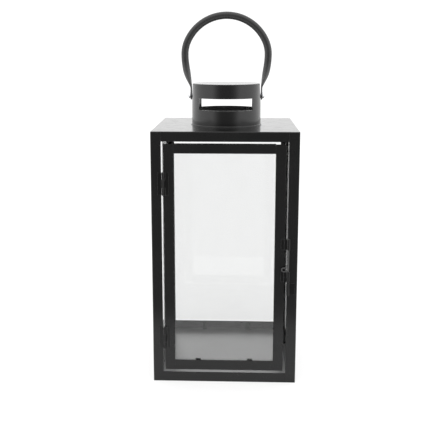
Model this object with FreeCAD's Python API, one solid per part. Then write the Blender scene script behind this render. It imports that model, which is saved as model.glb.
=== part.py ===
import FreeCAD, Part
import math
import os

# Hurricane candle lantern: a square glazed box of folded sheet steel with a hinged door in front, a round
# slotted chimney on its lid and a carrying handle that swings on the chimney.
# Millimetres. +Z is up, the origin is the centre of the underside, and the door faces -Y.

# ---- Driving dimensions ----------------------------------------------------------------------------------

# Body
BODY_WIDTH = 190.0
BODY_HEIGHT = 337.5
SHEET = 1.2
POST_LEG = 13.5
BOTTOM_RAIL_TOP = 13.0
TOP_RAIL_BOTTOM = 324.7
BEND_RADIUS = 1.4
RIM_RADIUS = 0.9

# Glass and the tabs that hold it
GLASS = 3.0
GLASS_PLAY = 0.3
PANE_HALF_WIDTH = 90.2
CLIP_WIDTH = 7.0
CLIP_SHEET = 0.8
CLIP_FOOT = 5.0
CLIP_SPREAD = 34.5
CLIP_HEIGHT = 11.5

# Chimney
CHIMNEY_RADIUS = 47.5
CHIMNEY_HEIGHT = 56.5
VENT_RADIUS = 43.0
SLOT_HALF_ANGLE = 49.0
SLOT_LOW, SLOT_HIGH = 22.0, 37.5
DENT_START = 26.0
DENT_DEPTH = 1.9
FOOT_RING_WIDTH = 0.9
FOOT_RING_HEIGHT = 1.5
FOOT_RING_PLAY = 0.15

# Door
DOOR_LEFT, DOOR_RIGHT = -78.9, 77.9
DOOR_BOTTOM, DOOR_TOP = 16.7, 321.6
STILE_WIDTH = 13.2
DOOR_TOP_RAIL = 12.1
DOOR_BOTTOM_RAIL = 13.7
DOOR_RETURN = 7.0
DOOR_CLIP_SPREAD = 34.5
DOOR_CLIP_TIP = 1.4

# Leaves of the hinges and of the latch: a land fixed to the face, and straps raised clear of it
LEAF = 0.8
LEAF_LIFT = 0.3
LEAF_LAND = 4.8
LEAF_LAP = 0.5
BARREL_CLEARANCE = 0.4

# Hinges
HINGE_X = -78.9
HINGE_BARREL = 1.8
HINGE_PIN = 0.8
HINGE_PIN_HEAD = 1.5
HINGE_HEIGHT = 29.4
HINGE_KNUCKLE = 9.0
HINGE_GAP = 0.2
HINGE_CENTRES = {"upper": 270.0, "lower": 62.0}

# Latch
BOLT_X = 82.8
BOLT_RADIUS = 1.1
GUIDE_BARREL = 2.2
GUIDE_HEIGHT = 14.6
GUIDE_KNUCKLE = 5.5
GUIDE_BASES = {"upper": 184.4, "lower": 140.8}
GUIDE_LEFT = 73.1
GUIDE_SLOT_PLAY = 0.15
GUIDE_SETBACK = 0.3
KEEPER_BASE = 123.4
KEEPER_HEIGHT = 15.8
KEEPER_RIGHT = 92.3
BOLT_BOTTOM = 140.0
BOLT_TOP = 199.5
FINGER_LOOP_REACH = 5.9
FINGER_LOOP_RADIUS = 2.5
FINGER_LOOP_WIRE = 0.85
FINGER_LOOP_HEIGHT = 158.0

# Handle and its pivots
PIVOT_HEIGHT = 40.0
STRAP_INNER = 47.55
STRAP_SHEET = 1.9
STRAP_HALF_WIDTH = 6.0
TUBE_RADIUS = 5.0
TOP_ARC_RADIUS = 58.3
TOP_ARC_CENTRE = 89.2
SHOULDER_ANGLE = 25.9
SHOULDER_RISE = 6.3
LEG_ARC_RADIUS = 96.6
FLATTENING_DROP = 16.5
STRAP_TOP = 50.0
FLATTENING_STEPS = 9
FLATTENING_START, FLATTENING_END = 2.6, 1.5
LEG_OVERLAP = 0.6
LEG_PLAY = 0.1
SCREW_RADIUS = 2.0
SCREW_HEAD_RADIUS = 4.4
SCREW_HEAD_HEIGHT = 3.6
SCREW_PLAY = 0.2
RECESS_DEPTH = 1.4
RECESS_LENGTH = 4.0
RECESS_WIDTH = 0.9
WASHER = 0.55
WASHER_RADIUS = 3.6
NUT_INNER = 41.9
NUT_HEIGHT = 3.2
NUT_CORNER = 4.04
RUNNING_FIT = 0.05

# ---- Places worked out from them -------------------------------------------------------------------------

HALF = BODY_WIDTH / 2
FACE = -HALF
INSIDE = HALF - SHEET
LID_TOP = BODY_HEIGHT
LID_UNDER = BODY_HEIGHT - SHEET
OPENING = HALF - POST_LEG
WINDOW_LEFT = DOOR_LEFT + STILE_WIDTH
WINDOW_RIGHT = DOOR_RIGHT - STILE_WIDTH
WINDOW_BOTTOM = DOOR_BOTTOM + DOOR_BOTTOM_RAIL
HINGE_Y = FACE - LEAF_LIFT - HINGE_BARREL
BOLT_Y = FACE - LEAF_LIFT - GUIDE_BARREL
PIVOT_Z = LID_TOP + PIVOT_HEIGHT
DENT_SLOPE = math.degrees(math.atan(DENT_DEPTH / (CHIMNEY_HEIGHT - DENT_START)))

ALONG_X = FreeCAD.Vector(1, 0, 0)
ALONG_Y = FreeCAD.Vector(0, 1, 0)
ALONG_Z = FreeCAD.Vector(0, 0, 1)
SIDES = {"front": 0, "right": 90, "back": 180, "left": 270}
CORNERS = {"front_left": 0, "front_right": 90, "back_right": 180, "back_left": 270}


# ---- Shapes used in many places --------------------------------------------------------------------------

def point(x, y, z):
    return FreeCAD.Vector(x, y, z)


def box(x0, x1, y0, y1, z0, z1):
    return Part.makeBox(x1 - x0, y1 - y0, z1 - z0, point(x0, y0, z0))


def rod(radius, x, y, z0, z1):
    return Part.makeCylinder(radius, z1 - z0, point(x, y, z0), ALONG_Z)


def cross_rod(radius, x0, x1, z):
    return Part.makeCylinder(radius, x1 - x0, point(x0, 0, z), ALONG_X)


def turned(shape, degrees):
    copy = shape.copy()
    copy.rotate(point(0, 0, 0), ALONG_Z, degrees)
    return copy


def mirrored_x(shape):
    return shape.mirror(point(0, 0, 0), ALONG_X)


def save(name, shapes):
    solids = [solid for shape in shapes for solid in shape.Solids]
    whole = solids[0] if len(solids) == 1 else Part.makeCompound(solids)
    whole.exportStep(os.path.join("parts", name + ".step"))


# ---- Body ------------------------------------------------------------------------------------------------

def corner_post():
    """Folded angle round the front left corner, with a rounded bend."""
    inner = FACE + SHEET
    bend = FACE + BEND_RADIUS
    diagonal = BEND_RADIUS * (1 - math.sqrt(0.5))
    edges = [
        Part.LineSegment(point(bend, FACE, 0), point(-OPENING, FACE, 0)),
        Part.LineSegment(point(-OPENING, FACE, 0), point(-OPENING, inner, 0)),
        Part.LineSegment(point(-OPENING, inner, 0), point(inner, inner, 0)),
        Part.LineSegment(point(inner, inner, 0), point(inner, -OPENING, 0)),
        Part.LineSegment(point(inner, -OPENING, 0), point(FACE, -OPENING, 0)),
        Part.LineSegment(point(FACE, -OPENING, 0), point(FACE, bend, 0)),
        Part.Arc(point(FACE, bend, 0), point(FACE + diagonal, FACE + diagonal, 0), point(bend, FACE, 0)),
    ]
    outline = Part.Wire([edge.toShape() for edge in edges])
    return Part.Face(outline).extrude(point(0, 0, LID_UNDER))


def rail(z0, z1):
    """Flat strip between the two front posts."""
    return box(-OPENING, OPENING, FACE, FACE + SHEET, z0, z1)


def floor_plate():
    return box(-INSIDE, INSIDE, -INSIDE, INSIDE, 0, SHEET)


def top_plate():
    """Square lid with bends that follow the posts and a vent hole under the chimney."""
    lid = box(-HALF, HALF, -HALF, HALF, LID_UNDER, LID_TOP)
    uprights = [edge for edge in lid.Edges if edge.BoundBox.ZLength > SHEET / 2]
    lid = lid.makeFillet(BEND_RADIUS, uprights)
    rim = [edge for edge in lid.Edges if edge.BoundBox.ZMin > LID_TOP - SHEET / 10]
    lid = lid.makeFillet(RIM_RADIUS, rim)
    return lid.cut(rod(VENT_RADIUS, 0, 0, LID_UNDER, LID_TOP))


def fixed_pane():
    """Pane behind the front strips; the door side has none, so it is only made turned."""
    front = FACE + SHEET
    low = SHEET + GLASS_PLAY
    high = LID_UNDER - GLASS_PLAY
    return box(-PANE_HALF_WIDTH, PANE_HALF_WIDTH, front, front + GLASS, low, high)


def clip(x, glass_back, z_foot, height):
    """Bent tab: an upright against the glass and a foot; a negative height hangs from its foot."""
    low, high = sorted((z_foot, z_foot + height))
    foot_low, foot_high = sorted((z_foot, z_foot + math.copysign(CLIP_SHEET, height)))
    upright = box(x - CLIP_WIDTH / 2, x + CLIP_WIDTH / 2, glass_back, glass_back + CLIP_SHEET, low, high)
    foot_end = glass_back + CLIP_FOOT
    foot = box(x - CLIP_WIDTH / 2, x + CLIP_WIDTH / 2, glass_back, foot_end, foot_low, foot_high)
    return upright.fuse(foot).removeSplitter()


def pane_clips():
    glass_back = FACE + SHEET + GLASS
    places = [(x, z, h) for x in (-CLIP_SPREAD, CLIP_SPREAD)
              for z, h in ((SHEET, CLIP_HEIGHT), (LID_UNDER, -CLIP_HEIGHT))]
    return [clip(x, glass_back, z, height) for x, z, height in places]


# ---- Chimney ---------------------------------------------------------------------------------------------

def chimney_form(inset):
    """Solid outline of the chimney, drawn in by an inset, with a sloping dent on each side."""
    height = CHIMNEY_HEIGHT
    form = rod(CHIMNEY_RADIUS - inset, 0, 0, LID_TOP, LID_TOP + height)
    dent = Part.makeBox(CHIMNEY_RADIUS, 2 * CHIMNEY_RADIUS, 2 * height, point(0, -CHIMNEY_RADIUS, 0))
    dent.rotate(point(0, 0, 0), ALONG_Y, -DENT_SLOPE)
    slope_inset = inset / math.cos(math.radians(DENT_SLOPE))
    dent.translate(point(CHIMNEY_RADIUS - slope_inset, 0, LID_TOP + DENT_START))
    return form.cut(dent).cut(mirrored_x(dent))


def slab(z0, z1):
    return box(-HALF, HALF, -HALF, HALF, z0, z1)


def chimney_tube():
    top = LID_TOP + CHIMNEY_HEIGHT - SHEET
    tube = chimney_form(0).cut(chimney_form(SHEET)).common(slab(LID_TOP, top))
    slot_half = CHIMNEY_RADIUS * math.sin(math.radians(SLOT_HALF_ANGLE))
    slots = box(-slot_half, slot_half, -HALF, HALF, LID_TOP + SLOT_LOW, LID_TOP + SLOT_HIGH)
    pivots = cross_rod(SCREW_RADIUS + RUNNING_FIT, -HALF, HALF, PIVOT_Z)
    return tube.cut(slots).cut(pivots)


def chimney_cap():
    top = LID_TOP + CHIMNEY_HEIGHT
    cap = chimney_form(0).common(slab(top - SHEET, top))
    rim = [edge for edge in cap.Edges if edge.BoundBox.ZMin > top - SHEET / 10]
    return cap.makeFillet(RIM_RADIUS, rim)


def chimney_foot_ring():
    inner = CHIMNEY_RADIUS + FOOT_RING_PLAY
    ring = rod(inner + FOOT_RING_WIDTH, 0, 0, LID_TOP, LID_TOP + FOOT_RING_HEIGHT)
    rim = [edge for edge in ring.Edges if edge.BoundBox.ZMin > LID_TOP + FOOT_RING_HEIGHT / 2]
    ring = ring.makeFillet(FOOT_RING_WIDTH / 2, rim)
    return ring.cut(rod(inner, 0, 0, LID_TOP, LID_TOP + FOOT_RING_HEIGHT))


# ---- Door ------------------------------------------------------------------------------------------------

def door_stile(outer, direction):
    """Upright angle; direction is +1 where the door lies to its right."""
    x0, x1 = sorted((outer, outer + direction * STILE_WIDTH))
    r0, r1 = sorted((outer, outer + direction * SHEET))
    front = box(x0, x1, FACE, FACE + SHEET, DOOR_BOTTOM, DOOR_TOP)
    back = box(r0, r1, FACE, FACE + SHEET + DOOR_RETURN, DOOR_BOTTOM, DOOR_TOP)
    return front.fuse(back).removeSplitter()


def door_rail(outer, height, direction):
    """Angle between the stiles; direction is +1 where the window lies above it."""
    z0, z1 = sorted((outer, outer + direction * height))
    r0, r1 = sorted((outer, outer + direction * SHEET))
    front = box(WINDOW_LEFT, WINDOW_RIGHT, FACE, FACE + SHEET, z0, z1)
    back = box(WINDOW_LEFT, WINDOW_RIGHT, FACE, FACE + SHEET + DOOR_RETURN, r0, r1)
    return front.fuse(back).removeSplitter()


def door_glass():
    edge = SHEET + GLASS_PLAY
    front = FACE + SHEET
    return box(DOOR_LEFT + edge, DOOR_RIGHT - edge, front, front + GLASS, DOOR_BOTTOM + edge, DOOR_TOP - edge)


def door_clips():
    glass_back = FACE + SHEET + GLASS
    low = DOOR_BOTTOM + SHEET
    high = DOOR_TOP - SHEET
    up = WINDOW_BOTTOM + DOOR_CLIP_TIP - low
    down = -CLIP_HEIGHT + SHEET
    middle = (DOOR_LEFT + DOOR_RIGHT) / 2
    return [clip(middle + side * DOOR_CLIP_SPREAD, glass_back, z, height)
            for side in (-1, 1) for z, height in ((low, up), (high, down))]


# ---- Hinges and latch hardware ---------------------------------------------------------------------------

def rolled_leaf(plate, straps, axis, barrel, bore, knuckles):
    """Leaf of thin sheet on the front faces.

    plate is the part that lies on its own face, as (x0, x1, z0, z1). straps are lifted clear of the face
    and reach to the axis. knuckles are the (z0, z1) stretches rolled round the axis at (x, y).
    """
    x0, x1, z0, z1 = plate
    leaf = box(x0, x1, FACE - LEAF, FACE, z0, z1)
    for sx0, sx1, sz0, sz1 in straps:
        leaf = leaf.fuse(box(sx0, sx1, FACE - LEAF_LIFT - LEAF, FACE - LEAF_LIFT, sz0, sz1))
    for k0, k1 in knuckles:
        leaf = leaf.fuse(rod(barrel, axis[0], axis[1], k0, k1))
    for k0, k1 in knuckles:
        leaf = leaf.cut(rod(bore, axis[0], axis[1], k0, k1))
    return leaf.removeSplitter()


def hinge_stretches(centre):
    """Heights of the lower, middle and upper knuckle."""
    low = centre - HINGE_HEIGHT / 2
    high = centre + HINGE_HEIGHT / 2
    return ((low, low + HINGE_KNUCKLE),
            (low + HINGE_KNUCKLE + HINGE_GAP, high - HINGE_KNUCKLE - HINGE_GAP),
            (high - HINGE_KNUCKLE, high))


def hinge_leaf_frame(centre):
    low, middle, high = hinge_stretches(centre)
    plate = (-OPENING - LEAF_LAND, -OPENING + LEAF_LAP, low[0], high[1])
    straps = [(-OPENING, HINGE_X, middle[0], middle[1])]
    return rolled_leaf(plate, straps, (HINGE_X, HINGE_Y), HINGE_BARREL, HINGE_PIN + RUNNING_FIT, [middle])


def hinge_leaf_door(centre):
    low, middle, high = hinge_stretches(centre)
    left = HINGE_X + HINGE_BARREL + BARREL_CLEARANCE
    plate = (left, left + LEAF_LAND, low[0], high[1])
    straps = [(HINGE_X, left + LEAF_LAP, z0, z1) for z0, z1 in (low, high)]
    return rolled_leaf(plate, straps, (HINGE_X, HINGE_Y), HINGE_BARREL, HINGE_PIN + RUNNING_FIT, [low, high])


def hinge_pin(centre):
    """Pin with a small head that rests just above the top knuckle."""
    low = centre - HINGE_HEIGHT / 2
    high = centre + HINGE_HEIGHT / 2 + HINGE_GAP / 2
    shank = rod(HINGE_PIN, HINGE_X, HINGE_Y, low, high)
    return shank.fuse(rod(HINGE_PIN_HEAD, HINGE_X, HINGE_Y, high, high + LEAF))


def latch_guide(base):
    """Bracket on the door that reaches over the gap and is rolled round the bolt.

    A slot in the roll's left side, open at the top, lets the finger loop come down.
    """
    top = base + GUIDE_HEIGHT
    land_end = DOOR_RIGHT - GUIDE_SETBACK
    plate = (GUIDE_LEFT, land_end, base, top)
    straps = [(land_end - LEAF_LAP, BOLT_X, base, top)]
    guide = rolled_leaf(plate, straps, (BOLT_X, BOLT_Y), GUIDE_BARREL, BOLT_RADIUS + RUNNING_FIT, [(base, top)])
    slot = FINGER_LOOP_WIRE + GUIDE_SLOT_PLAY
    return guide.cut(box(GUIDE_LEFT, BOLT_X, BOLT_Y - slot, BOLT_Y + slot, base + GUIDE_KNUCKLE, top))


def latch_keeper():
    """Plate on the right post, rolled into the socket that the bolt drops into."""
    top = KEEPER_BASE + KEEPER_HEIGHT
    land_start = BOLT_X + GUIDE_BARREL - LEAF_LAP
    plate = (land_start, KEEPER_RIGHT, KEEPER_BASE, top)
    straps = [(BOLT_X, land_start + LEAF_LAP, KEEPER_BASE, top)]
    return rolled_leaf(plate, straps, (BOLT_X, BOLT_Y), GUIDE_BARREL, BOLT_RADIUS + RUNNING_FIT,
                       [(KEEPER_BASE, top)])


def latch_bolt():
    """Straight wire with eased ends and a loop of wire for the finger on its left."""
    wire = rod(BOLT_RADIUS, BOLT_X, BOLT_Y, BOLT_BOTTOM, BOLT_TOP)
    ends = [edge for edge in wire.Edges if edge.BoundBox.ZLength < BOLT_RADIUS]
    wire = wire.makeFillet(BOLT_RADIUS / 2, ends)
    turn = BOLT_X - FINGER_LOOP_REACH
    low, high = (FINGER_LOOP_HEIGHT + side * FINGER_LOOP_RADIUS for side in (-1, 1))
    bend = Part.makeTorus(FINGER_LOOP_RADIUS, FINGER_LOOP_WIRE, point(turn, BOLT_Y, FINGER_LOOP_HEIGHT), ALONG_Y)
    bend = bend.common(box(0, turn, -HALF - HALF, HALF, 0, BODY_HEIGHT))
    arms = [Part.makeCylinder(FINGER_LOOP_WIRE, BOLT_X - turn, point(turn, BOLT_Y, z), ALONG_X) for z in (low, high)]
    return wire.fuse([bend] + arms).removeSplitter()


# ---- Handle ----------------------------------------------------------------------------------------------

def bent_tube(centre, start, direction, degrees):
    """Stretch of tube that starts at a point, heading in a direction, and turns about a centre."""
    outline = Part.Wire(Part.Circle(start, direction, TUBE_RADIUS).toShape())
    return Part.Face(outline).revolve(centre, ALONG_Y, degrees)


def flattened_leg(top, tilt):
    """Tube pressed smoothly from round to flat, its inner side bending from the tube's line to upright.

    Both ends are a little slimmer than the tube and the strap, and reach into them.
    """
    bottom = LID_TOP + STRAP_TOP - LEG_OVERLAP
    start = top.z + LEG_OVERLAP
    drop = start - bottom
    lean = math.tan(math.radians(tilt)) * drop
    round_half = TUBE_RADIUS - LEG_PLAY
    flat_half = STRAP_SHEET / 2 - LEG_PLAY / 4
    flat_width = STRAP_HALF_WIDTH - LEG_PLAY
    inner_top = top.x + LEG_OVERLAP * math.tan(math.radians(tilt)) - round_half * math.cos(math.radians(tilt))
    inner_bottom = STRAP_INNER + LEG_PLAY / 4
    sections = []
    for step in range(FLATTENING_STEPS + 1):
        done = step / FLATTENING_STEPS
        thickness = flat_half + (round_half - flat_half) * (1 - done ** FLATTENING_START) ** FLATTENING_END
        width = round_half + (flat_width - round_half) * done ** 2
        ease = 3 * done ** 2 - 2 * done ** 3
        inner = inner_top + (inner_bottom - inner_top) * ease - lean * done * (1 - done) ** 2
        centre = point(inner + thickness, 0, start - drop * done)
        angle = math.radians(tilt * (1 - done))
        across = point(math.cos(angle), 0, -math.sin(angle)) * (thickness - LEG_PLAY / 100)
        outline = Part.Ellipse(centre + ALONG_Y * width, centre + across, centre)
        sections.append(Part.Wire(outline.toShape()))
    return Part.makeLoft(sections, True)


def handle_half():
    """Right half of the handle, from the top of its arc to the flat strap on the pivot screw."""
    angle = math.radians(SHOULDER_ANGLE)
    arc_centre = point(0, 0, LID_TOP + TOP_ARC_CENTRE)
    arc_top = arc_centre + ALONG_Z * TOP_ARC_RADIUS
    outward = point(math.cos(angle), 0, math.sin(angle))
    shoulder = arc_centre + outward * TOP_ARC_RADIUS
    shoulder_centre = arc_centre + outward * (SHOULDER_RISE / math.sin(angle))
    widest = shoulder_centre + ALONG_X * (shoulder - shoulder_centre).Length
    leg_centre = widest - ALONG_X * LEG_ARC_RADIUS
    tilt = math.degrees(math.asin(FLATTENING_DROP / LEG_ARC_RADIUS))
    leg_end = leg_centre + point(math.cos(math.radians(tilt)), 0, -math.sin(math.radians(tilt))) * LEG_ARC_RADIUS
    heading = point(math.sin(angle), 0, -math.cos(angle))
    pieces = [
        bent_tube(arc_centre, arc_top, ALONG_X, 90 - SHOULDER_ANGLE),
        bent_tube(shoulder_centre, shoulder, heading, SHOULDER_ANGLE),
        bent_tube(leg_centre, widest, ALONG_Z, tilt),
        flattened_leg(leg_end, tilt),
        box(STRAP_INNER, STRAP_INNER + STRAP_SHEET, -STRAP_HALF_WIDTH, STRAP_HALF_WIDTH,
            PIVOT_Z, LID_TOP + STRAP_TOP),
        cross_rod(STRAP_HALF_WIDTH, STRAP_INNER, STRAP_INNER + STRAP_SHEET, PIVOT_Z),
    ]
    half = pieces[0].fuse(pieces[1:])
    return half.cut(cross_rod(SCREW_RADIUS + RUNNING_FIT, 0, HALF, PIVOT_Z))


def carry_handle():
    half = handle_half()
    return half.fuse(mirrored_x(half)).removeSplitter()


def handle_screw():
    """Domed screw with a cross recess, from inside the chimney wall to outside the right strap."""
    head = STRAP_INNER + STRAP_SHEET + SCREW_PLAY
    shank = cross_rod(SCREW_RADIUS, NUT_INNER - SCREW_PLAY, head, PIVOT_Z)
    dome_radius = (SCREW_HEAD_RADIUS ** 2 + SCREW_HEAD_HEIGHT ** 2) / (2 * SCREW_HEAD_HEIGHT)
    dome = Part.makeSphere(dome_radius, point(head + SCREW_HEAD_HEIGHT - dome_radius, 0, PIVOT_Z))
    dome = dome.common(cross_rod(SCREW_HEAD_RADIUS, head, head + SCREW_HEAD_HEIGHT, PIVOT_Z))
    recess = head + SCREW_HEAD_HEIGHT - RECESS_DEPTH
    for along, across in ((RECESS_LENGTH, RECESS_WIDTH), (RECESS_WIDTH, RECESS_LENGTH)):
        dome = dome.cut(box(recess, HALF, -along / 2, along / 2, PIVOT_Z - across / 2, PIVOT_Z + across / 2))
    return shank.fuse(dome)


def handle_washer():
    outside = STRAP_INNER - RUNNING_FIT
    ring = cross_rod(WASHER_RADIUS, outside - WASHER, outside, PIVOT_Z)
    return ring.cut(cross_rod(SCREW_RADIUS + RUNNING_FIT, 0, HALF, PIVOT_Z))


def handle_nut():
    corners = [point(NUT_INNER, NUT_CORNER * math.cos(math.radians(60 * k)),
                     PIVOT_Z + NUT_CORNER * math.sin(math.radians(60 * k))) for k in range(6)]
    outline = Part.makePolygon(corners + corners[:1])
    nut = Part.Face(outline).extrude(point(NUT_HEIGHT, 0, 0))
    return nut.cut(cross_rod(SCREW_RADIUS + RUNNING_FIT, 0, HALF, PIVOT_Z))


# ---- Write one file for each piece -----------------------------------------------------------------------

os.makedirs("parts", exist_ok=True)

save("floor_plate", [floor_plate()])
for corner, degrees in CORNERS.items():
    save("corner_post_" + corner, [turned(corner_post(), degrees)])
for side, degrees in SIDES.items():
    save("bottom_rail_" + side, [turned(rail(0, BOTTOM_RAIL_TOP), degrees)])
    save("top_rail_" + side, [turned(rail(TOP_RAIL_BOTTOM, LID_UNDER), degrees)])
    if side != "front":
        save("glass_" + side, [turned(fixed_pane(), degrees)])
        save("glass_clips_" + side, [turned(one, degrees) for one in pane_clips()])
save("top_plate", [top_plate()])

save("chimney_foot_ring", [chimney_foot_ring()])
save("chimney_tube", [chimney_tube()])
save("chimney_cap", [chimney_cap()])

save("door_stile_hinge", [door_stile(DOOR_LEFT, 1)])
save("door_stile_latch", [door_stile(DOOR_RIGHT, -1)])
save("door_rail_bottom", [door_rail(DOOR_BOTTOM, DOOR_BOTTOM_RAIL, 1)])
save("door_rail_top", [door_rail(DOOR_TOP, DOOR_TOP_RAIL, -1)])
save("door_glass", [door_glass()])
save("door_glass_clips", door_clips())

for place, centre in HINGE_CENTRES.items():
    save("hinge_leaf_frame_" + place, [hinge_leaf_frame(centre)])
    save("hinge_leaf_door_" + place, [hinge_leaf_door(centre)])
    save("hinge_pin_" + place, [hinge_pin(centre)])
for place, base in GUIDE_BASES.items():
    save("latch_guide_" + place, [latch_guide(base)])
save("latch_keeper", [latch_keeper()])
save("latch_bolt", [latch_bolt()])

save("carry_handle", [carry_handle()])
for name, piece in (("screws", handle_screw()), ("washers", handle_washer()), ("nuts", handle_nut())):
    save("handle_" + name, [mirrored_x(piece), piece])
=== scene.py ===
"""Hurricane candle lantern: finishes, soft sheet-metal edges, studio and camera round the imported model.

Metres and degrees, and millimetres for the handle. The row frame is kept: +Z is up, the door faces -Y, and the
underside stands on Z = 0.
"""

import math

import bmesh
import bpy
from mathutils import Euler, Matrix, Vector


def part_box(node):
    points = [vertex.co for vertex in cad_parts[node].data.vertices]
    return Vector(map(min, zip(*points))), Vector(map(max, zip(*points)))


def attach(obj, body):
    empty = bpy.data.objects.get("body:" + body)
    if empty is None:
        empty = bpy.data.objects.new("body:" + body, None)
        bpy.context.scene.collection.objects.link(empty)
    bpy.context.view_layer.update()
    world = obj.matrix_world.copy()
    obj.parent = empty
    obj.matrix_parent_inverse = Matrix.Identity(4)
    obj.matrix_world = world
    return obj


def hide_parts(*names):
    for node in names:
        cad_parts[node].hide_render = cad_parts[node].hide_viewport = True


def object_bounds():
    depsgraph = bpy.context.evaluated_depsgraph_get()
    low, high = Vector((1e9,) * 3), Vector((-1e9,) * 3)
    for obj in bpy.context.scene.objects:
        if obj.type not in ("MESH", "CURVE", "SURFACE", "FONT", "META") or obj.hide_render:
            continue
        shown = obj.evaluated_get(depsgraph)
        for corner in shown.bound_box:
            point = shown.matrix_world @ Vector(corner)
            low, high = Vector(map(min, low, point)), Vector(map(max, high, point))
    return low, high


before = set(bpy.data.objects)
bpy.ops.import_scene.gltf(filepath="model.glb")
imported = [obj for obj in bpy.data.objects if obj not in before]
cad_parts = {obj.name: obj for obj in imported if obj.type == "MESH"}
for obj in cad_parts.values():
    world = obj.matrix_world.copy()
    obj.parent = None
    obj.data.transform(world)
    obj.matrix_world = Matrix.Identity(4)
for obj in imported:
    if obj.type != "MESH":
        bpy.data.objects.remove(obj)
cad_low, cad_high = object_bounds()

MM = 0.001
LID_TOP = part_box("top_plate")[1].z

# ---- Camera ----------------------------------------------------------------------------------------------

LENS = 60.9                     # mm, on the default 36 mm sensor
CAMERA_PLACE = Vector((0.018, -1.0, 0.44))
CAMERA_DOWN = 10.54
CAMERA_LEFT = 2.09
CAMERA_SHIFT = -0.07
CAMERA_NEAR = 0.05

# ---- Studio ----------------------------------------------------------------------------------------------

TABLE_FRONT = -0.32             # the white table ends a little in front of the lantern
TABLE_BACK = 5.0
TABLE_HALF_WIDTH = 3.0
TABLE_DROP = 0.2 * MM           # keeps the table's surface apart from the lantern's underside
TABLE_GLOW = 0.7                # the table is lit from below as well, which keeps its shadows faint
TABLE_GLOW_IN_FAR_PANES = 0.35  # the same, where a far pane mirrors it through a near one
PANE_FACES = 2.5                # light that has passed more faces of glass than this comes from a far pane
TABLE_TONES = (0.29, 0.31)
BACKDROP = 1.14                 # what the camera sees of the studio, straight or through glass
WALL_LIGHT = 1.5                # what lights the lantern from behind and from the sides
FRONT_LIGHT = 0.23              # the open, darker room on the camera's side
FRONT_HALF_ANGLES = (8.0, 50.0)   # off straight in front: darkest inside the first, as light as the walls past
                                  # the second
CEILING_LIGHT = 1.7
CEILING_RISE = (0.45, 0.85)     # sines of the heights above the horizon where it begins and is full
HALF_A_BOUNCE = 0.5             # tells light that has bounced from light that hasn't

# ---- Edges -----------------------------------------------------------------------------------------------

SHEET_EDGE = 0.18 * MM          # paint rounds the cut edges of the sheet
LEAF_EDGE = 0.14 * MM
GLASS_EDGE = 0.35 * MM          # seamed edges of the panes
GLASS_PLAY = 0.05 * MM          # keeps the panes' faces apart from the sheet that they lie on
SHARP_ANGLE = 30.0              # degrees; gentler edges stay as they are
WELD = 0.001 * MM               # joins the imported faces along their edges

EDGE_HIGHLIGHT_WIDTH = 0.3 * MM            # how far from an edge the painted highlight on the frame, lid and fittings reaches
EDGE_HIGHLIGHT_BREAKS = 1.5 * MM           # size of the breaks in it
EDGE_HIGHLIGHT_TURN = (0.998, 0.93)        # cosines of the turn of the surface where it begins and is full

SHEET_NODES = ("corner_post", "bottom_rail", "top_rail", "floor_plate", "door_stile", "door_rail",
               "glass_clips", "door_glass_clips")
LEAF_NODES = ("hinge_leaf", "hinge_pin", "latch_guide", "latch_keeper")
PANE_NODES = ("glass_right", "glass_back", "glass_left", "door_glass")

# ---- Handle, in mm above the lid and from the middle, on the same arcs as its CAD solid -------------------

TUBE_RADIUS = 5.0
TOP_ARC_RADIUS = 58.3
TOP_ARC_CENTRE = 89.2
SHOULDER_ANGLE = 25.9
SHOULDER_RISE = 6.3
LEG_ARC_RADIUS = 96.6
FLATTENING_DROP = 16.5          # how far below its widest place the tube begins to be flattened
STRAP_TOP = 50.0                # the ends are fully flat below this
STRAP_INNER = 47.55             # from the middle to a flat end's inner face
STRAP_SHEET = 1.9               # a flat end's thickness
STRAP_HALF_WIDTH = 6.0
PIVOT_HEIGHT = 40.0
THINNING_START, THINNING_END = 2.6, 1.5   # exponents: how gently the tube begins and ends going flat
ROUND, SQUARE = 2.0, 3.5        # squareness of the tube's section and of its flat ends
TAB_RISE = 3.0                  # the flat end's straight part stops this far above the pivot
TOP_STATIONS, SHOULDER_STATIONS, LEG_STATIONS = 36, 12, 8   # sections along each arc of the tube
FLATTENING_STATIONS, TAB_STATIONS = 29, 15
TAB_TURN = 6.2                  # degrees between the sections round the end of a tab
RING_POINTS = 32

# ---- Where the paint changes -----------------------------------------------------------------------------

HANDLE_LIGHTER_FROM, HANDLE_LIGHTER_TO = LID_TOP + 86 * MM, LID_TOP + 64 * MM   # heights between which the handle turns lighter towards its lower ends
FLOOR_DARK_FROM, FLOOR_DARK_TO = 82 * MM, 86 * MM                         # distances off the middle
INSIDE_FADE = 20 * MM
DUST_TONE = 0.06
GLOSS_CHANGE = 0.02             # roughness more or less than a paint's own, in slow smears


# ---- Materials -------------------------------------------------------------------------------------------

def add_node(tree, kind, inputs=None, **settings):
    """A new node whose inputs are linked to sockets or set to numbers."""
    node = tree.nodes.new(kind)
    for key, value in settings.items():
        setattr(node, key, value)
    for key, value in (inputs or {}).items():
        if isinstance(value, bpy.types.NodeSocket):
            tree.links.new(value, node.inputs[key])
        else:
            node.inputs[key].default_value = value
    return node


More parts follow.
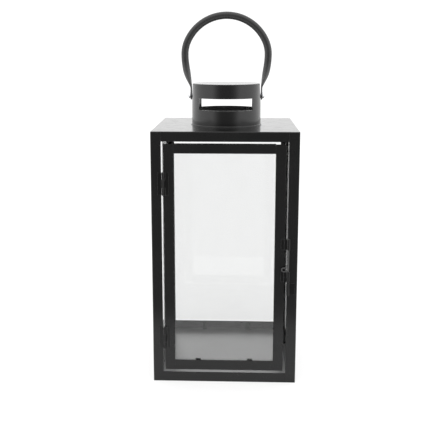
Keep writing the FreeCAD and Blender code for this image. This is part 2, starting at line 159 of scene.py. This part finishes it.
class Recipe:
    """One material's node tree. Patterns are in object coordinates, so they ride with the body."""

    def __init__(self, name):
        self.material = bpy.data.materials.new(name)
        self.material.use_nodes = True
        self.tree = self.material.node_tree
        self.shader = self.tree.nodes["Principled BSDF"]
        self.place = self.add("ShaderNodeTexCoord").outputs["Object"]

    def add(self, kind, inputs=None, **settings):
        return add_node(self.tree, kind, inputs, **settings)

    def noise(self, size, detail=2.0, roughness=0.5, distortion=0.0):
        """Soft noise whose blobs are about size metres across."""
        return self.add("ShaderNodeTexNoise", {
            "Vector": self.place, "Scale": 1 / size, "Detail": detail, "Roughness": roughness,
            "Distortion": distortion}).outputs["Fac"]

    def spread(self, source, low, high, start=0.3, end=0.7):
        """source from start to end becomes low to high."""
        return self.add("ShaderNodeMapRange", {
            "Value": source, "From Min": start, "From Max": end,
            "To Min": low, "To Max": high}).outputs["Result"]

    def tones(self, factor, first, second):
        mix = self.add("ShaderNodeMix", data_type="RGBA")
        self.tree.links.new(factor, mix.inputs[0])
        for socket, value in ((mix.inputs[6], first), (mix.inputs[7], second)):
            if isinstance(value, bpy.types.NodeSocket):
                self.tree.links.new(value, socket)
            else:
                socket.default_value = (*value, 1.0)
        return mix.outputs[2]

    def compute(self, operation, first, second=0.0):
        return self.add("ShaderNodeMath", {0: first, 1: second}, operation=operation).outputs[0]

    def axis(self, letter):
        return self.add("ShaderNodeSeparateXYZ", {"Vector": self.place}).outputs[letter]

    def bump(self, height, depth, under=None):
        inputs = {"Height": height, "Distance": depth, "Strength": 1.0}
        if under is not None:
            inputs["Normal"] = under
        return self.add("ShaderNodeBump", inputs).outputs["Normal"]

    def edges(self):
        """Mask of the painted edge highlight: one along the sharp edges, to about its set width from them,
        broken up a little, and nought elsewhere.
        """
        rounded = self.add("ShaderNodeBevel", {"Radius": EDGE_HIGHLIGHT_WIDTH}, samples=6).outputs["Normal"]
        flat = self.add("ShaderNodeNewGeometry").outputs["Normal"]
        facing = self.add("ShaderNodeVectorMath", {0: rounded, 1: flat}, operation="DOT_PRODUCT")
        broken = self.spread(self.noise(EDGE_HIGHLIGHT_BREAKS, detail=3.0), 0.6, 1.0)
        start, end = EDGE_HIGHLIGHT_TURN
        edge = self.spread(facing.outputs["Value"], 0.0, 1.0, start=start, end=end)
        return self.compute("MULTIPLY", edge, broken)

    def inner_faces(self):
        """One on faces that look towards the upright axis, and nought on those that look away from it."""
        level = self.add("ShaderNodeVectorMath", {0: self.place, 1: (1.0, 1.0, 0.0)}, operation="MULTIPLY")
        normal = self.add("ShaderNodeTexCoord").outputs["Normal"]
        outward = self.add("ShaderNodeVectorMath", {0: level.outputs[0], 1: normal}, operation="DOT_PRODUCT")
        return self.spread(outward.outputs["Value"], 1.0, 0.0, start=-INSIDE_FADE, end=0.0)

    def set(self, **inputs):
        """Shader inputs, with spaces in their names written as underscores."""
        for key, value in inputs.items():
            socket = self.shader.inputs[key.replace("_", " ")]
            if isinstance(value, bpy.types.NodeSocket):
                self.tree.links.new(value, socket)
            else:
                socket.default_value = value
        return self.material


def grey(value):
    return (value, value, value)


def paint(name, tone, gloss, ior=1.5, peel=6e-6, waviness=0.08 * MM, coat=0.0, coat_gloss=0.08,
          edge_highlight_tone=None, handle_lower_tone=None, margin=None, inside=None):
    """Baked black paint on sheet steel: orange peel, slow colour and gloss changes, dust, a wavy sheet.

    The rest are tones that it changes to, where it has them: a painted highlight along its edges, a lighter
    tone on the lower part of the handle, margin along both sides of the floor, where it has no coat either, and
    inside on faces that look towards the upright axis.
    """
    recipe = Recipe(name)
    cloud = recipe.noise(45 * MM, detail=4.0)
    grain = recipe.noise(0.9 * MM, detail=2.0)
    dust = recipe.spread(recipe.noise(0.45 * MM, detail=1.0), 0.0, 0.5, start=0.76, end=0.80)
    body = recipe.tones(recipe.spread(cloud, 0.0, 1.0), grey(tone * 0.8), grey(tone * 1.2))
    body = recipe.tones(recipe.spread(grain, 0.0, 0.4), body, grey(tone * 1.5))
    body = recipe.tones(dust, body, grey(DUST_TONE))
    # painted highlight: a lighter tone along the sharp edges, standing in for the light that they catch
    if edge_highlight_tone:
        body = recipe.tones(recipe.edges(), body, grey(edge_highlight_tone))
    # lighter towards the lower ends of the handle
    if handle_lower_tone:
        low = recipe.spread(recipe.axis("Z"), 0.0, 1.0, start=HANDLE_LIGHTER_FROM, end=HANDLE_LIGHTER_TO)
        body = recipe.tones(low, body, grey(handle_lower_tone))
    if margin:
        side = recipe.compute("ABSOLUTE", recipe.axis("X"))
        rim = recipe.spread(side, 0.0, 1.0, start=FLOOR_DARK_FROM, end=FLOOR_DARK_TO)
        body = recipe.tones(rim, body, grey(margin))
        coat = recipe.spread(side, coat, 0.0, start=FLOOR_DARK_FROM, end=FLOOR_DARK_TO)
    if inside:
        body = recipe.tones(recipe.inner_faces(), body, grey(inside))
    smear = recipe.noise(18 * MM, detail=5.0, roughness=0.6, distortion=0.6)
    rough = recipe.spread(smear, gloss - GLOSS_CHANGE, gloss + GLOSS_CHANGE)
    sheet = recipe.bump(recipe.noise(70 * MM, detail=1.0), waviness)
    skin = recipe.bump(recipe.noise(1.3 * MM, detail=1.5), peel, under=sheet)
    return recipe.set(Base_Color=body, Roughness=rough, Normal=skin, IOR=ior,
                      Coat_Weight=coat, Coat_Roughness=coat_gloss)


def zinc(name):
    """Bright zinc-plated steel: fine turning lines, cloudy plating."""
    recipe = Recipe(name)
    cloud = recipe.noise(1.6 * MM, detail=3.0)
    lines = recipe.noise(0.12 * MM, detail=2.0, distortion=1.0)
    body = recipe.tones(recipe.spread(cloud, 0.0, 1.0), (0.62, 0.63, 0.65), (0.78, 0.78, 0.79))
    return recipe.set(Base_Color=body, Metallic=1.0, Roughness=recipe.spread(cloud, 0.18, 0.32),
                      Normal=recipe.bump(lines, 2e-6))


def clear_glass(name):
    """Float glass: a faint cool body, slow waves and the thinnest film of handling marks."""
    recipe = Recipe(name)
    film = recipe.noise(30 * MM, detail=6.0, roughness=0.65, distortion=1.2)
    waves = recipe.noise(120 * MM, detail=1.0)
    marks = recipe.spread(film, 0.0, 1.0, start=0.45, end=0.8)
    body = recipe.tones(marks, (0.92, 0.923, 0.922), (0.905, 0.908, 0.907))
    return recipe.set(Base_Color=body, Transmission_Weight=1.0, IOR=1.52, Roughness=0.0,
                      Normal=recipe.bump(waves, 0.03 * MM))


# The frame, lid and fittings carry a painted highlight along their edges
FINISHES = {
    "frame_paint": paint("frame_black", tone=0.0085, gloss=0.20, ior=1.41, edge_highlight_tone=0.045),
    "lid_paint": paint("lid_black", tone=0.0065, gloss=0.20, waviness=0.04 * MM, edge_highlight_tone=0.045),
    "floor_paint": paint("floor_black", tone=0.06, gloss=0.30, coat=0.9, coat_gloss=0.30, margin=0.045),
    "chimney_paint": paint("chimney_black", tone=0.011, gloss=0.15, inside=0.07),
    "handle_paint": paint("handle_black", tone=0.020, gloss=0.38, waviness=0.0, handle_lower_tone=0.085),
    "hardware_black": paint("fitting_black", tone=0.005, gloss=0.20, ior=1.38, waviness=0.0, edge_highlight_tone=0.17),
    "clip_paint": paint("clip_black", tone=0.0065, gloss=0.20, waviness=0.0),
    "zinc_hardware": zinc("bright_zinc"),
    "clear_glass": clear_glass("float_glass"),
}

# Nodes whose finish differs a little from that of their slot. The foot ring's lighter tone is a painted
# highlight.
SPECIAL_FINISHES = {
    "chimney_cap": paint("cap_black", tone=0.0065, gloss=0.20),
    # lighter tone: a painted highlight on the foot ring
    "chimney_foot_ring": paint("foot_ring_black", tone=0.03, gloss=0.20, waviness=0.0),
    "latch_bolt": paint("bolt_black", tone=0.05, gloss=0.25, waviness=0.0),
}

for name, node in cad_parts.items():
    for entry in node.material_slots:
        entry.material = SPECIAL_FINISHES.get(name, FINISHES[entry.material.name])


# ---- Rounded edges on the folded sheet and the panes -----------------------------------------------------

def welded_smooth_group():
    """Geometry nodes that join the imported faces along their edges and shade them smooth."""
    group = bpy.data.node_groups.new("welded_smooth", "GeometryNodeTree")
    group.interface.new_socket("Geometry", in_out="INPUT", socket_type="NodeSocketGeometry")
    group.interface.new_socket("Geometry", in_out="OUTPUT", socket_type="NodeSocketGeometry")
    start = group.nodes.new("NodeGroupInput")
    weld = group.nodes.new("GeometryNodeMergeByDistance")
    weld.inputs["Distance"].default_value = WELD
    smooth = group.nodes.new("GeometryNodeSetShadeSmooth")
    end = group.nodes.new("NodeGroupOutput")
    group.links.new(start.outputs[0], weld.inputs["Geometry"])
    group.links.new(weld.outputs["Geometry"], smooth.inputs["Geometry"])
    group.links.new(smooth.outputs["Geometry"], end.inputs[0])
    return group


WELDED_SMOOTH = welded_smooth_group()


def soften(node, width, shrink=0.0):
    """Rounds a CAD node's edges for the render. The mesh itself stays as packed."""
    node.modifiers.new("join", "NODES").node_group = WELDED_SMOOTH
    if shrink:
        play = node.modifiers.new("play", "DISPLACE")
        play.strength = -shrink
        play.mid_level = 0.0
    edge = node.modifiers.new("edge", "BEVEL")
    edge.width = width
    edge.segments = 2
    edge.limit_method = "ANGLE"
    edge.angle_limit = math.radians(SHARP_ANGLE)
    node.modifiers.new("even", "WEIGHTED_NORMAL")


for name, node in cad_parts.items():
    if name in PANE_NODES:
        soften(node, GLASS_EDGE, shrink=GLASS_PLAY)
    elif name.startswith(SHEET_NODES):
        soften(node, SHEET_EDGE)
    elif name.startswith(LEAF_NODES):
        soften(node, LEAF_EDGE)


# ---- Handle ----------------------------------------------------------------------------------------------

def arc_stations(centre, radius, start, end, count):
    """Places and outward directions along an arc in the XZ plane, in mm and degrees."""
    stations = []
    for step in range(count):
        angle = math.radians(start + (end - start) * step / count)
        out = Vector((math.cos(angle), 0.0, math.sin(angle)))
        stations.append((centre + out * radius, out))
    return stations


def handle_sections():
    """Right half of the handle from its top down: (centre, outward, half thickness, half width, squareness)."""
    angle = math.radians(SHOULDER_ANGLE)
    top_centre = Vector((0.0, 0.0, TOP_ARC_CENTRE))
    shoulder_way = Vector((math.cos(angle), 0.0, math.sin(angle)))
    shoulder_centre = top_centre + shoulder_way * SHOULDER_RISE / math.sin(angle)
    shoulder_radius = TOP_ARC_RADIUS - SHOULDER_RISE / math.sin(angle)
    leg_centre = shoulder_centre + Vector((shoulder_radius - LEG_ARC_RADIUS, 0.0, 0.0))
    tilt = math.degrees(math.asin(FLATTENING_DROP / LEG_ARC_RADIUS))
    round_part = (arc_stations(top_centre, TOP_ARC_RADIUS, 90.0, SHOULDER_ANGLE, TOP_STATIONS)
                  + arc_stations(shoulder_centre, shoulder_radius, SHOULDER_ANGLE, 0.0, SHOULDER_STATIONS)
                  + arc_stations(leg_centre, LEG_ARC_RADIUS, 0.0, -tilt, LEG_STATIONS))
    sections = [(place, out, TUBE_RADIUS, TUBE_RADIUS, ROUND) for place, out in round_part]
    start, start_out = arc_stations(leg_centre, LEG_ARC_RADIUS, -tilt, 0.0, 1)[0]
    inner_start = start.x - TUBE_RADIUS * start_out.x
    drop = start.z - STRAP_TOP
    lean = math.tan(math.radians(tilt)) * drop
    flat = STRAP_SHEET / 2
    for step in range(FLATTENING_STATIONS):
        t = step / (FLATTENING_STATIONS - 1)
        thickness = flat + (TUBE_RADIUS - flat) * (1 - t ** THINNING_START) ** THINNING_END
        width = TUBE_RADIUS + (STRAP_HALF_WIDTH - TUBE_RADIUS) * t * t
        inner = (inner_start * (2 * t ** 3 - 3 * t ** 2 + 1) - lean * (t ** 3 - 2 * t ** 2 + t)
                 + STRAP_INNER * (3 * t ** 2 - 2 * t ** 3))
        turn = math.radians(tilt) * (1 - t)
        out = Vector((math.cos(turn), 0.0, -math.sin(turn)))
        centre = Vector((inner + thickness, 0.0, start.z - drop * t))
        sections.append((centre, out, thickness, width, ROUND + (SQUARE - ROUND) * t ** 4))
    middle = STRAP_INNER + flat
    across = Vector((1.0, 0.0, 0.0))
    sections.append((Vector((middle, 0.0, PIVOT_HEIGHT + TAB_RISE)), across, flat, STRAP_HALF_WIDTH, SQUARE))
    for step in range(TAB_STATIONS):
        turn = math.radians(TAB_TURN * step)
        place = Vector((middle, 0.0, PIVOT_HEIGHT - STRAP_HALF_WIDTH * math.sin(turn)))
        sections.append((place, across, flat, STRAP_HALF_WIDTH * math.cos(turn), SQUARE))
    return sections


def section_ring(centre, out, thickness, width, squareness):
    """Points of a superellipse across the handle. Squareness 2 is an ellipse, 3.5 a strap with eased edges."""
    ring = []
    for step in range(RING_POINTS):
        turn = 2 * math.pi * step / RING_POINTS
        u, v = math.cos(turn), math.sin(turn)
        u = math.copysign(abs(u) ** (2 / squareness), u)
        v = math.copysign(abs(v) ** (2 / squareness), v)
        ring.append(centre + out * thickness * u + Vector((0.0, width * v, 0.0)))
    return ring


def swept_handle():
    """One smooth round tube whose ends are flattened and rounded off round the pivot screws."""
    half = handle_sections()
    left = [(Vector((-c.x, 0.0, c.z)), Vector((-o.x, 0.0, o.z)), *rest) for c, o, *rest in half[1:]]
    rings = [section_ring(*section) for section in left[::-1] + half]
    count = RING_POINTS
    points = [Vector((0.0, 0.0, LID_TOP)) + point * MM for ring in rings for point in ring]
    faces = [tuple(range(count)), tuple(range(len(points) - 1, len(points) - count - 1, -1))]
    for row in range(len(rings) - 1):
        a, b = row * count, (row + 1) * count
        faces += [(a + k, b + k, b + (k + 1) % count, a + (k + 1) % count) for k in range(count)]
    mesh = bpy.data.meshes.new("carry_handle_tube")
    mesh.from_pydata(points, [], faces)
    mesh.validate()
    form = bmesh.new()
    form.from_mesh(mesh)
    bmesh.ops.recalc_face_normals(form, faces=form.faces)
    form.to_mesh(mesh)
    form.free()
    mesh.shade_smooth()
    mesh.materials.append(FINISHES["handle_paint"])
    handle = bpy.data.objects.new("carry_handle_tube", mesh)
    bpy.context.scene.collection.objects.link(handle)
    handle.modifiers.new("even", "WEIGHTED_NORMAL")
    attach(handle, "handle")
    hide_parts("carry_handle")


swept_handle()


# ---- Studio ----------------------------------------------------------------------------------------------

def studio_table():
    """White table top. Beyond its edges the backdrop is as white."""
    level = cad_low.z - TABLE_DROP
    corners = [(-TABLE_HALF_WIDTH, TABLE_FRONT, level), (TABLE_HALF_WIDTH, TABLE_FRONT, level),
               (TABLE_HALF_WIDTH, TABLE_BACK, level), (-TABLE_HALF_WIDTH, TABLE_BACK, level)]
    mesh = bpy.data.meshes.new("studio_table")
    mesh.from_pydata(corners, [], [(0, 1, 2, 3)])
    table = bpy.data.objects.new("studio_table", mesh)
    bpy.context.scene.collection.objects.link(table)
    recipe = Recipe("table_white")
    grain = recipe.noise(4 * MM, detail=3.0)
    path = recipe.add("ShaderNodeLightPath")
    through = recipe.compute("GREATER_THAN", path.outputs["Transmission Depth"], PANE_FACES)
    mirrored = recipe.compute("GREATER_THAN", path.outputs["Glossy Depth"], HALF_A_BOUNCE)
    far = recipe.compute("MULTIPLY", through, mirrored)
    glow = recipe.spread(far, TABLE_GLOW, TABLE_GLOW_IN_FAR_PANES, start=0.0, end=1.0)
    low, high = TABLE_TONES
    mesh.materials.append(recipe.set(
        Base_Color=recipe.tones(grain, grey(low), grey(high)), Roughness=0.9, Specular_IOR_Level=0.1,
        Emission_Color=(1.0, 1.0, 1.0, 1.0), Emission_Strength=glow))


def studio_world():
    """White all round, brighter above and behind, darker on the camera's side."""
    world = bpy.data.worlds.new("studio")
    world.use_nodes = True
    bpy.context.scene.world = world
    tree = world.node_tree
    tree.nodes.clear()

    def add(kind, inputs=None, **settings):
        return add_node(tree, kind, inputs, **settings)

    def ramp(value, start, end, low, high):
        return add("ShaderNodeMapRange", {
            "Value": value, "From Min": start, "From Max": end, "To Min": low, "To Max": high},
            interpolation_type="SMOOTHSTEP").outputs["Result"]

    direction = add("ShaderNodeSeparateXYZ", {"Vector": add("ShaderNodeTexCoord").outputs["Generated"]})
    dark, light = (-math.cos(math.radians(angle)) for angle in FRONT_HALF_ANGLES)
    walls = ramp(direction.outputs["Y"], dark, light, FRONT_LIGHT, WALL_LIGHT)
    ceiling = ramp(direction.outputs["Z"], *CEILING_RISE, 0.0, CEILING_LIGHT - WALL_LIGHT)
    strength = add("ShaderNodeMath", {0: walls, 1: ceiling}, operation="ADD").outputs[0]
    lighting = add("ShaderNodeBackground", {"Strength": strength})
    backdrop = add("ShaderNodeBackground", {"Strength": BACKDROP})
    path = add("ShaderNodeLightPath")
    bounces = add("ShaderNodeMath", {0: path.outputs["Diffuse Depth"], 1: path.outputs["Glossy Depth"]},
                  operation="ADD").outputs[0]
    straight = add("ShaderNodeMath", {0: bounces, 1: HALF_A_BOUNCE}, operation="LESS_THAN").outputs[0]
    mixed = add("ShaderNodeMixShader", {0: straight, 1: lighting.outputs[0], 2: backdrop.outputs[0]})
    add("ShaderNodeOutputWorld", {"Surface": mixed.outputs[0]})
    for background in (lighting, backdrop):
        background.inputs["Color"].default_value = (1.0, 1.0, 1.0, 1.0)


def studio_camera():
    data = bpy.data.cameras.new("studio_camera")
    data.lens = LENS
    data.shift_y = CAMERA_SHIFT
    data.clip_start = CAMERA_NEAR
    camera = bpy.data.objects.new("studio_camera", data)
    bpy.context.scene.collection.objects.link(camera)
    camera.location = CAMERA_PLACE
    camera.rotation_euler = Euler((math.radians(90 - CAMERA_DOWN), 0.0, math.radians(CAMERA_LEFT)))
    bpy.context.scene.camera = camera


studio_table()
studio_world()
studio_camera()
bpy.context.scene.view_settings.view_transform = "Standard"
